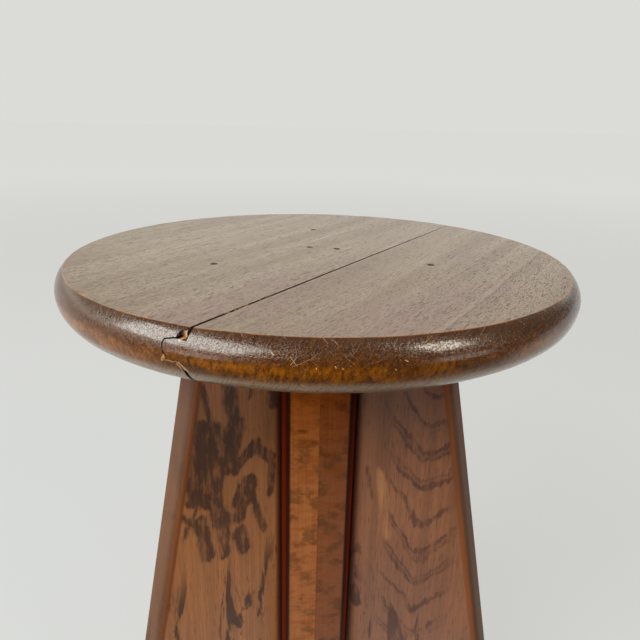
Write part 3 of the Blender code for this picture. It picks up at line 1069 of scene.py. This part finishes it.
# %% [markdown]
# ## Floor, sky and lights
# The stool stands in a pale room. A wide pale floor and an even pale background meet without
# a horizon: the floor brightens with distance until it matches the sky. A big soft light high
# on the left draws the long highlight on the rim, and a smaller one answers it on the right.
# Reflections see a darker room in front of the stool, which keeps its front faces deep.

# %% Set the stage
ROOM = (0.71, 0.715, 0.69)

bpy.context.scene.view_settings.view_transform = "Standard"
bpy.context.scene.view_settings.look = "None"

bpy.ops.object.select_all(action="DESELECT")
bpy.ops.mesh.primitive_plane_add(size=60)
floor = bpy.context.object
floor.name = "studio_floor"


def floor_paint():
    """Pale to the eye and evenly lit, but with the dark side of the room before it."""
    finish = Finish("studio_floor_paint")
    place = finish.place()
    grain = finish.noise(place, (3, 3, 3), 2)
    y = finish.split(place)[1]
    finish.dress(finish.mix(grain, (0.13, 0.13, 0.125), (0.14, 0.14, 0.135)), 1.0)
    finish.put(finish.shader.inputs["Emission Color"], (*ROOM, 1))
    far = finish.step(finish.vector("LENGTH", place, output="Value"), 0.8, 5.0, 0.74, 0.935)
    finish.put(finish.shader.inputs["Emission Strength"], far)
    finish.put(finish.shader.inputs["Specular IOR Level"], 0.0)
    glow = finish.node("Emission", {"Color": (*ROOM, 1),
                                    "Strength": finish.step(y, -0.45, 0.05, 0.05, 1.0)})
    seen = finish.node("LightPath", output="Is Camera Ray")
    both = finish.node("MixShader", {0: seen, 1: glow, 2: finish.shader.outputs[0]})
    finish.put(finish.tree.nodes["Material Output"].inputs["Surface"], both)
    return finish.material


give(floor, floor_paint())
floor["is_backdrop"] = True


def soft_light(name, place, aim, size, radiance, colour):
    """A rectangular light at a place, facing an aim, with a given brightness of its face."""
    bpy.ops.object.light_add(type="AREA", location=place)
    light = bpy.context.object
    light.name = name
    light.rotation_euler = (Vector(aim) - Vector(place)).to_track_quat("-Z", "Y").to_euler()
    light.data.shape = "RECTANGLE"
    light.data.size, light.data.size_y = size
    light.data.energy = radiance * math.pi * size[0] * size[1]
    light.data.color = colour
    return light


soft_light("left_window", (-1.45, -0.80, 1.55), (0, -0.1, 0.40), (2.0, 1.1), 10.5,
           (0.90, 0.96, 1.0))
soft_light("right_window", (1.05, -0.85, 1.42), (0, 0, 0.40), (0.50, 0.6), 13.0,
           (1.0, 0.97, 0.90))
soft_light("rear_softbox", (0.3, 2.2, 2.1), (0, 0, 0.40), (2.4, 1.2), 1.5, (1.0, 0.99, 0.96))
soft_light("low_fill_left", (-1.5, -1.3, 0.35), (0, 0, 0.25), (0.8, 0.6), 3.2,
           (1.0, 0.97, 0.93))
soft_light("low_fill_right", (1.5, -1.3, 0.35), (0, 0, 0.25), (0.8, 0.6), 2.5,
           (1.0, 0.97, 0.93))


# %% Light the room
class Sky(Finish):
    """The same shorthand, for the world's own network."""

    def __init__(self, name):
        world = bpy.data.worlds.new(name)
        bpy.context.scene.world = world
        world.use_nodes = True
        self.tree = world.node_tree
        self.tree.nodes.clear()


sky = Sky("pale_room")
across, back, up = sky.split(sky.node("TexCoord", output="Generated"))
# The wall is brightest a little above the horizon, and fades below and above that. The right
# side is darker, and the front darker still.
colour = (0.58, 0.57, 0.53)
for axis, start, end, paint in ((up, 0.12, 0.20, (1.42, 1.40, 1.28)),
                                (up, 0.26, 0.37, (0.38, 0.38, 0.34)),
                                (up, 0.50, 0.75, (0.25, 0.25, 0.24)),
                                (across, 0.72, 0.90, (0.16, 0.15, 0.14)),
                                (back, -0.25, -0.75, (0.05, 0.05, 0.05))):
    colour = sky.mix(sky.step(axis, start, end), colour, paint)
colour = sky.mix(sky.node("LightPath", output="Is Camera Ray"), colour, ROOM)
world_output = sky.tree.nodes.new("ShaderNodeOutputWorld")
sky.put(world_output.inputs[0], sky.node("Background", {0: colour}))

# %% [markdown]
# ## The size of the stool
# The remodelled stool has to fill the same box as the frame. The box of the remodelled pieces is
# printed.

# %% Print the size
low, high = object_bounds()
print("visual box:", [round(v, 5) for v in (*low, *high)])
